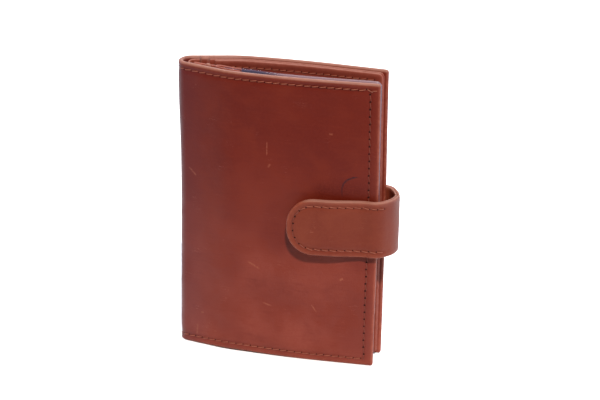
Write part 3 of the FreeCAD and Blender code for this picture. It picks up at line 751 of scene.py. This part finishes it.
def metal_material():
    """Antiqued press-stud metal, tarnished in patches, with fine lathe marks."""
    t = Tree("antiqued_snap_metal")
    at = t.node("ShaderNodeTexCoord").outputs["Object"]
    patch = t.noise(at, 600, 4, 0.6)
    lathe = t.noise(at, 2600, 2, 0.5, stretch=(1, 8, 1))
    colour = t.mix(t.ramp(patch, 0.35, 0.65), (0.20, 0.15, 0.10), (0.48, 0.40, 0.29))
    return t.finish(Base_Color=colour, Metallic=1.0, Roughness=t.ramp(patch, 0.3, 0.7, 0.42, 0.26),
                    Normal=t.bump(lathe, 0.00003, 0.4))


def floor_material():
    """Pale, and mid-grey in front, where it would throw too much light up at the front cover."""
    t = Tree("pale_floor")
    at = t.node("ShaderNodeTexCoord").outputs["Object"]
    tone = t.noise(at, 3.0, 2, 0.5)
    colour = t.mix(t.ramp(tone, 0.3, 0.7), (0.90, 0.90, 0.905), (0.92, 0.92, 0.925))
    colour = t.mix(t.ramp(t.split(at)[1], -0.17, -0.055), (0.36, 0.35, 0.36), colour)
    return t.finish(Base_Color=colour, Roughness=0.9, Specular_IOR_Level=0.1)


# low is painted light: the cover is paler towards its foot, as if lit by the floor's glow
REDDISH = dict(base=(0.100, 0.0068, 0.0012), dark=(0.076, 0.0040, 0.0012), light=(0.130, 0.0135, 0.0034),
               low=(0.180, 0.0320, 0.0185), worn=(0.36, 0.105, 0.060))
STRAP_TONE = dict(base=(0.134, 0.0215, 0.0085), dark=(0.106, 0.0130, 0.0055), light=(0.164, 0.0310, 0.0130),
                  worn=(0.36, 0.105, 0.060))
# painted highlight on the top edges, where the light from above catches them
TOP_EDGE_HIGHLIGHT = (0.225, 0.102, 0.072)
# the last tone here is painted shade, for the cover just above the strap
PALE, DARK_MARK, PAINTED_STRAP_SHADE = (0.42, 0.14, 0.075), (0.020, 0.006, 0.010), (0.075, 0.0040, 0.0006)
# along the leather, up it, length, direction, width, strength, (bend,) tone
SCUFFS_AND_STRAP_SHADE = (
    (100.0, 79.5, 5.5, -42, 0.60, 0.36, 0.02, PALE), (134.0, 95.0, 7.0, 90, 0.45, 0.26, PALE),
    (135.0, 87.5, 2.5, 60, 0.80, 0.20, PALE), (128.5, 41.5, 6.5, -28, 0.60, 0.26, PALE),
    (161.0, 104.0, 2.0, 0, 0.70, 0.34, PALE), (134.5, 24.0, 4.5, -16, 0.60, 0.22, PALE),
    (155.0, 24.5, 4.5, -55, 0.50, 0.22, PALE), (166.5, 39.0, 2.0, 30, 0.90, 0.30, PALE),
    (104.5, 15.0, 1.5, 0, 0.60, 0.30, PALE), (102.0, 6.5, 6.0, 85, 0.60, 0.24, PALE),
    # on the next line the dark mark is the leather's own; the wide patch after it is painted shade, the cover
    # darker just above the strap
    (167.0, 83.0, 12.5, 54, 0.62, 1.9, 0.095, DARK_MARK), (165.5, 79.0, 27.0, 3, 7.0, 0.75, PAINTED_STRAP_SHADE),
)
# beside the fold: centre along the leather, reach, share, tone
FOLD_SHADE = ((93.0, 19.0, 0.50, (0.065, 0.0100, 0.0140)),)
INNER_TONE = dict(base=(0.150, 0.022, 0.011), dark=(0.090, 0.011, 0.006), light=(0.20, 0.042, 0.024),
                  worn=(0.34, 0.11, 0.075))
COVER_LEATHER = leather("cover_pull_up_leather", **REDDISH, marks=SCUFFS_AND_STRAP_SHADE, shade=FOLD_SHADE, highlight_height=HEIGHT)
STRAP_LEATHER = leather("strap_pull_up_leather", **STRAP_TONE, scratches=1.8, highlight_height=TAB_HIGH)
INNER_LEATHER = leather("inner_leather", **INNER_TONE, grain=0.8, rough=0.55, scratches=0.4, highlight_height=HEIGHT)
THREAD = thread_material()
HOLE = hole_material()
FILM = film_material()
CLOTH = cloth_material()
METAL = metal_material()


# ---- covers ----
def sewn(name, lines, depth, place, *nodes, out=-1, body=None):
    """Stitches and their needle holes, dressed, and riding on a body if it is named."""
    pieces = stitches(name, lines, depth, place, out)
    dress(pieces[0], THREAD, "thread", *nodes)
    dress(pieces[1], HOLE, "thread")
    for piece in pieces if body else ():
        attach(piece, body)
    return pieces


def without(loop, skip):
    """The run of a closed line that lies outside a flat box (u low, u high, v low, v high)."""
    hidden = (
        (loop[:, 0] > skip[0]) & (loop[:, 0] < skip[1])
        & (loop[:, 1] > skip[2]) & (loop[:, 1] < skip[3]))
    first = int(np.argmax(hidden))
    return np.roll(loop, -first, 0)[~np.roll(hidden, -first)]


def across_spine(piece):
    """Bakes a piece's transform into its mesh; the piece is already laid between the two leaves, round the
    spine's nose.
    """
    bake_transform(piece)


def make_covers():
    length, top_seam = COVER.length, HEIGHT - TOP_SEAM_INSET
    seam = rectangle(SEAM_INSET, length - SEAM_INSET, TOP_SEAM_INSET, top_seam, 0.8, 0.8)
    press = Press(seams=[(seam, True)], seed=3.0, uneven=0.16)
    loop = rectangle(0, length, 0, HEIGHT, COVER_CORNER, COVER_CORNER)
    cover = plate("cover_leather", [loop], 0, COVER_THICKNESS, COVER, press, rim=1.0, cell=0.8)
    dress(cover, COVER_LEATHER, "cover_leather", "back_cover_leather", "spine_leather", "front_cover_leather")
    across_spine(cover)

    anchor = (0, EDGE_X - TAB_ANCHOR_X, TAB_LOW - 1, TAB_HIGH + 1)
    last_stitch = np.array([(length - SEAM_INSET, top_seam), (length - 0.7, top_seam)])
    for piece in sewn("cover_stitches", [(without(seam, anchor), False), (last_stitch, False)], 0, COVER,
                      "back_cover_thread", "spine_thread", "front_cover_thread"):
        across_spine(piece)


def make_lining():
    low, high = PANEL_END_INSET, HEIGHT - PANEL_END_INSET
    loop = rectangle(0, LINING.length, low, high, PANEL_CORNER, PANEL_CORNER)
    press = Press(uneven=0.08, seed=9.0)
    lining = plate("note_pocket_lining", [loop], 0, DIVIDER_THICKNESS, LINING, press, cell=1.1)
    dress(lining, INNER_LEATHER, "inner_leather", "back_note_divider", "spine_lining", "front_note_divider")
    across_spine(lining)


# ---- inside the back ----
HEM_X = SPINE_X + 6.8     # the back panel's turned edge, where the inner pieces meet


def panel(body, nodes, *about, **more):
    """A piece of the inner leather on one leaf."""
    return rigid(body, INNER_LEATHER, "inner_leather", nodes, *about, **more)


def make_back_inside():
    low, high = node_box("back_pocket_base")
    inset = SEAM_INSET - PANEL_INSET + 0.6
    start, side, foot, head = low[0] + 2, high[0] - inset, low[2] + inset, high[2] - inset
    seam = np.array(turned([(start, head, 0), (side, head, 0.8), (side, foot, 0.8), (start, foot, 0)]))
    under = Press(seams=[(seam, False)], uneven=0.06, seed=12.0)
    loop = rectangle(low[0], high[0], low[2], high[2], 0.4, PANEL_CORNER)
    panel("back_leaf", ["back_pocket_base"], "back_pocket_base_panel", [loop], *BASE_PANEL, leaf(1),
          underside=under, cell=1.1)
    far = BASE_PANEL[1]
    sewn("back_pocket_stitches", [(seam, False)], far, leaf(1), "back_pocket_thread", out=1, body="back_leaf")

    loop = rectangle(HEM_X - 0.6, HEM_X + 3.4, low[2], high[2] + 1.6, 1.3, 1.3)
    panel("back_leaf", [], "back_pocket_turned_edge", [loop], *BACK_HEM, leaf(1),
          Press(uneven=0.5, seed=50.0), rim=1.3, cell=0.5)

    slots = [f"back_card_slot_{number}" for number in (1, 2, 3)]
    for number, name in enumerate(slots):
        low, high = node_box(name)
        near = far + SLOT_GAP
        far = near + SLOT_THICKNESS
        mouth, side = high[2], high[0] - HIDDEN_SEAM_INSET
        crease = np.array([(low[0], mouth - 1.6), (high[0], mouth - 1.6)])
        shown_from = node_box(slots[number + 1])[1][2] if number < 2 else low[2]
        seam = np.array([(side, mouth - 1.8), (side, shown_from + 0.8)])
        under = Press(seams=[(seam, False)], crease=crease, uneven=0.06, seed=14.0 + number)
        loop = rectangle(low[0], high[0], low[2], mouth, 0.4, 1.2)
        panel("back_leaf", [name], name + "_leather", [loop], near, far, leaf(1), underside=under, cell=1.2)
        sewn(name + "_stitches", [(seam, False)], far, leaf(1), out=1, body="back_leaf")


# ---- inside the front ----
FRAME_SEAM = 3.35         # from the CAD thread's box in to the window
FRAME_BELOW = 1.1         # the frame's top lies this far below the page's
THREAD_BOX = node_box("front_frame_thread")
WINDOW_X = THREAD_BOX[0][0] + FRAME_SEAM, THREAD_BOX[1][0] - FRAME_SEAM
WINDOW_Z = THREAD_BOX[0][2] + FRAME_SEAM, THREAD_BOX[1][2] - FRAME_SEAM
WINDOW_CORNER = 4.0
NOTCH_HALF, NOTCH_DEPTH, NOTCH_CORNER = 11.0, 9.0, 7.5


def make_front_inside():
    low, high = node_box("front_window_film")
    loop = rectangle(low[0], high[0], low[2], high[2])
    rigid("front_leaf", FILM, "clear_film", ["front_window_film"],
          "identity_window_film", [loop], *WINDOW_FILM, leaf(-1), Press(uneven=0.02), cell=2.0)

    low, high = node_box("front_window_frame")
    left, right, top = sum(WINDOW_X) / 2 - NOTCH_HALF, sum(WINDOW_X) / 2 + NOTCH_HALF, high[2] - FRAME_BELOW
    frame_outline = outline([
        (low[0], low[2], 0.4), (high[0], low[2], PANEL_CORNER), (high[0], top, PANEL_CORNER),
        (right, top, 1.0), (right, top - NOTCH_DEPTH, NOTCH_CORNER),
        (left, top - NOTCH_DEPTH, NOTCH_CORNER), (left, top, 1.0), (low[0], top, 0.4),
    ])
    window = rectangle(*WINDOW_X, *WINDOW_Z, WINDOW_CORNER, WINDOW_CORNER)
    seam_box = [edge + way * HIDDEN_SEAM_INSET for edge, way in zip((*WINDOW_X, *WINDOW_Z), (-1, 1, -1, 1))]
    seam = rectangle(*seam_box, WINDOW_CORNER, WINDOW_CORNER)
    under = Press(seams=[(seam, True)], uneven=0.06, seed=20.0)
    panel("front_leaf", ["front_window_frame"], "identity_window_frame", [frame_outline, window],
          *WINDOW_FRAME, leaf(-1), underside=under, cell=1.1)
    sewn("window_frame_stitches", [(seam, True)], WINDOW_FRAME[1], leaf(-1), "front_frame_thread", out=1,
         body="front_leaf")

    loop = rectangle(HEM_X + 3.0, HEM_X + 5.6, low[2], high[2] + 0.6, 1.0, 1.0)
    panel("front_leaf", [], "identity_frame_turned_edge", [loop], *FRONT_HEM, leaf(-1),
          Press(uneven=0.4, seed=51.0), rim=0.8, cell=0.5)


# ---- middle leaf ----
MIDDLE_DEPTH, MIDDLE_FAR = 5.2, 8.1
FRONT_FILM_DEPTH, BACK_FILM_DEPTH, FILM_THICKNESS = 6.05, 6.95, 0.3
CORE = 6.42, 6.88
CORE_ABOVE = 0.5          # the cloth reaches this far above its CAD node
STRIP_TO_X = node_box("middle_hinge_strip")[1][0]
FOLD_RADIUS = (MIDDLE_FAR - MIDDLE_DEPTH) / 2
FOLD_X = node_box("middle_front_film")[0][0] - FOLD_RADIUS - 1.0


def page(x, depth):
    """Places the middle leaf's sheets: the page bows back beside its fold."""
    bow = 1.5 * np.exp(-(((np.asarray(x, float) - LEAF_X - 8) / 8) ** 2))
    return leaf(-1)(x, depth + bow)


def strip_route():
    """The hinge strip's outer face (front, round the fold, and back again), and its fold."""
    front = leaf(-1)
    xs = np.linspace(STRIP_TO_X, FOLD_X, 14)
    one = list(np.stack(front(xs, MIDDLE_DEPTH), 1))
    two = list(np.stack(front(xs[::-1], MIDDLE_FAR), 1))
    centre = (one[-1] + two[0]) / 2
    fold = [centre + spun(one[-1] - centre, -turn) for turn in np.linspace(0, math.pi, 14)[1:-1]]
    return Route(one + fold + two, left=-1), centre


def make_middle_leaf():
    low, high = node_box("middle_hinge_strip")
    route, fold = strip_route()
    length = route.length
    seams = [(np.array([(u, low[2] + 2.0), (u, high[2] - 2.0)]), False) for u in (2.0, length - 2.0)]
    loop = rectangle(0, length, low[2], high[2], 0.6, 0.6)
    panel("middle_leaf", ["middle_hinge_strip"], "middle_hinge_strip_leather", [loop], 0, 0.8, route,
          Press(seams=seams, uneven=0.05, seed=30.0))
    sewn("middle_strip_stitches", seams, 0, route, "middle_thread", body="middle_leaf")

    tongue = Route([np.array((low[0], MID_Y)), fold + (-1.0, 0)])
    loop = rectangle(0, tongue.length, low[2], high[2])
    panel("middle_leaf", ["middle_hinge_strip"], "middle_hinge_tongue", [loop], -0.6, 0.6, tongue, cell=1.2)

    for name, near in (("middle_front_film", FRONT_FILM_DEPTH), ("middle_back_film", BACK_FILM_DEPTH)):
        low, high = node_box(name)
        loop = rectangle(low[0], high[0] - 0.6, low[2], high[2] - 0.15, 0.3, PANEL_CORNER)
        rigid("middle_leaf", FILM, "clear_film", [name], name + "_sheet", [loop], near, near + FILM_THICKNESS,
              page, Press(uneven=0.03, seed=near), cell=2.0)

    low, high = node_box("middle_core_cloth")
    top = high[2] + CORE_ABOVE
    loop = rectangle(low[0], high[0], low[2], top, 0.3, PANEL_CORNER)
    core = rigid("middle_leaf", CLOTH, "lining_cloth", ["middle_core_cloth"],
                 "middle_core_lining", [loop], *CORE, page, Press(uneven=0.03, seed=33.0), cell=1.6)


# ---- tab ----
TAB_THICKNESS = TAB_LEATHER + TAB_LINING
LIES_ON_X = EDGE_X - 5.5          # the flap lies on the cover from here to the edge
BACK_LEAVES_X = EDGE_X - 2.5      # the strap leaves the back cover here
# corners (x, y, radius) of the strap's turn round the free edges
LOOP_NOSE = (LOOP_X + 1.1, 2.8, 12.0)
LOOP_CHEEK = (EDGE_X + 6.0, -5.0, 12.0)
LOOP_FRONT = (EDGE_X + 1.2, -11.45, 7.5)
LOOP_BACK = (EDGE_X + 2.2, 12.5, 6.0)


def flap_gap(x):
    """How far the flap stands off the front cover: most at its tip, least at the covers' edge."""
    at_snap = (TAB_GAP - TAB_GAP_AT_EDGE) * (1 - smooth(x, TAB_TIP_X + 16, LIES_ON_X))
    return TAB_GAP_AT_EDGE + at_snap + TIP_CURL * (1 - smooth(x, TAB_TIP_X, TAB_TIP_X + 14))


def strap_route():
    """The strap's outer face, from its sewn end round the free edges to its tip."""
    back = np.stack(leaf(1)(np.linspace(TAB_ANCHOR_X, BACK_LEAVES_X, 16), -TAB_THICKNESS), 1)
    xs = np.linspace(LIES_ON_X, TAB_TIP_X, 30)
    front = np.stack(leaf(-1)(xs, -flap_gap(xs) - TAB_THICKNESS), 1)
    corners = [(*back[-1], 0), LOOP_BACK, LOOP_NOSE, LOOP_CHEEK, LOOP_FRONT, (*front[0], 0)]
    return Route(list(back[:-1]) + turned(corners) + list(front[1:]), left=-1)


STRAP = strap_route()
NOSE_AT = int(np.argmax(STRAP.at[:, 0]))
STRAP_SPLIT = float(STRAP.along[NOSE_AT])


def make_tab():
    tip, mid, corner = STRAP.length, STRAP_SPLIT, TAB_TIP_CORNER
    halves = (
        ("back", [(0, TAB_LOW, 2.0), (mid, TAB_LOW, 0), (mid, TAB_HIGH, 0), (0, TAB_HIGH, 2.0)]),
        ("flap", [(mid, TAB_LOW, 0), (tip, TAB_LOW, corner), (tip, TAB_HIGH, corner), (mid, TAB_HIGH, 0)]),
    )
    inset = TAB_SEAM_INSET
    flap_from = float(np.interp(-EDGE_X - FLAP_SEAM_PAST, -STRAP.at[NOSE_AT:, 0], STRAP.along[NOSE_AT:]))
    low, high = TAB_LOW + inset, TAB_HIGH - inset
    flap_seam = np.array(turned([(flap_from, low, 0), (tip - inset, low, corner - inset),
                                 (tip - inset, high, corner - inset), (flap_from, high, 0)]))
    square = rectangle(inset, BACK_LEAVES_X - TAB_ANCHOR_X - inset, low, high, 0.8, 0.8)
    seams = [(flap_seam, False), (square, True)]
    press = Press(seams=seams, swell=0.06, uneven=0.12, seed=40.0, groove=0.22)
    under = Press(seams=seams, uneven=0.10, seed=41.0)
    layers = (
        ("leather", 0, TAB_LEATHER - LAYER_GAP, press, None),
        ("lining", TAB_LEATHER, TAB_THICKNESS, Press(uneven=0.03), under),
    )
    for layer, near, far, top, bottom in layers:
        for part, corners in halves:
            piece = plate(f"strap_{part}_{layer}", [outline(corners)], near, far, STRAP, top,
                          rim=0.5, cell=0.7, underside=bottom, cut_at=mid)
            nodes = ["tab_flap_" + layer] if part == "flap" else ["tab_anchor_" + layer, "tab_loop_" + layer]
            dress(piece, STRAP_LEATHER, "strap_leather", *nodes)
            bend_strap(piece)
    for depth, out, end, nodes in ((0, -1, "", ["tab_flap_thread"]), (TAB_THICKNESS, 1, "_inside", [])):
        for piece in sewn("tab_flap_stitches" + end, [(flap_seam, False)], depth, STRAP, *nodes, out=out):
            bend_strap(piece)
    sewn("tab_anchor_stitches", [(square, True)], 0, STRAP, "tab_anchor_thread", body="back_leaf")


def bend_strap(piece):
    """Bakes a strap piece's transform into its mesh; its route already takes the back half round the back
    edge and the flap round the front.
    """
    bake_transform(piece)


def make_snap():
    """The press stud keeps its CAD shape and gets a worn metal finish."""
    for name in ("snap_stud", "snap_stud_washer", "snap_socket", "snap_cap"):
        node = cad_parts[name]
        node.data.materials.clear()
        node.data.materials.append(METAL)


# ---- studio ----
CAMERA_AZIMUTH, CAMERA_ELEVATION, CAMERA_ROLL = 13.46, 21.26, 1.04
CAMERA_DISTANCE, CAMERA_LENS = 1.0496, 150.0
CAMERA_TARGET = (0.0049, 0.0, 0.0696)
FLOOR_HALF = 3.0
WORLD_STRENGTH = 0.05
LIGHTS = (
    # name, place, aim, size, watts, colour
    ("key", (0.84, -2.4, 3.1), (0, 0, 0.06), (0.3, 0.3), 252.0, (1.0, 0.96, 0.92)),
    ("overhead", (0.0, 0.55, 0.95), (0, 0.12, 0), (1.2, 0.5), 13.0, (1.0, 1.0, 1.0)),
    ("backdrop", (0.0, 2.0, 0.8), (0, 0.3, 0), (2.4, 0.8), 16.0, (0.97, 0.98, 1.0)),
    ("left", (-1.0, 0.30, 0.35), (0, 0, 0.06), (0.5, 0.7), 5.5, (0.60, 0.66, 1.0)),
    ("right", (1.0, 0.34, 0.35), (0, 0, 0.06), (0.5, 0.7), 4.0, (0.50, 0.58, 1.0)),
)


def make_camera():
    camera = bpy.data.objects.new("camera", bpy.data.cameras.new("camera"))
    bpy.context.scene.collection.objects.link(camera)
    a, e = math.radians(CAMERA_AZIMUTH), math.radians(CAMERA_ELEVATION)
    away = Vector((math.sin(a) * math.cos(e), -math.cos(a) * math.cos(e), math.sin(e)))
    camera.location = Vector(CAMERA_TARGET) + away * CAMERA_DISTANCE
    look = (-away).to_track_quat("-Z", "Y").to_matrix()
    camera.rotation_euler = (look @ Matrix.Rotation(math.radians(CAMERA_ROLL), 3, "Z")).to_euler()
    camera.data.lens = CAMERA_LENS
    camera.data.sensor_width = 36.0
    camera.data.clip_start, camera.data.clip_end = 0.01, 20.0
    bpy.context.scene.camera = camera


def add_light(name, place, aim, size, power, colour):
    light = bpy.data.lights.new(name, "AREA")
    light.shape, light.size, light.size_y = "RECTANGLE", size[0], size[1]
    light.energy, light.color = power, colour
    lamp = bpy.data.objects.new(name, light)
    bpy.context.scene.collection.objects.link(lamp)
    lamp.location = place
    lamp.rotation_euler = (Vector(aim) - Vector(place)).to_track_quat("-Z", "Y").to_euler()


def make_studio():
    half = FLOOR_HALF
    corners = [(-half, -half, 0), (half, -half, 0), (half, half, 0), (-half, half, 0)]
    mesh = bpy.data.meshes.new("floor")
    mesh.from_pydata(corners, [], [(0, 1, 2, 3)])
    floor = bpy.data.objects.new("floor", mesh)
    bpy.context.scene.collection.objects.link(floor)
    mesh.materials.append(floor_material())

    world = bpy.data.worlds.new("studio")
    world.use_nodes = True
    background = world.node_tree.nodes["Background"].inputs
    background["Color"].default_value = (0.92, 0.94, 1.0, 1)
    background["Strength"].default_value = WORLD_STRENGTH
    bpy.context.scene.world = world
    for light in LIGHTS:
        add_light(*light)
    bpy.context.scene.view_settings.view_transform = "Standard"


make_camera()
make_studio()
make_covers()
make_lining()
make_back_inside()
make_front_inside()
make_middle_leaf()
make_tab()
make_snap()
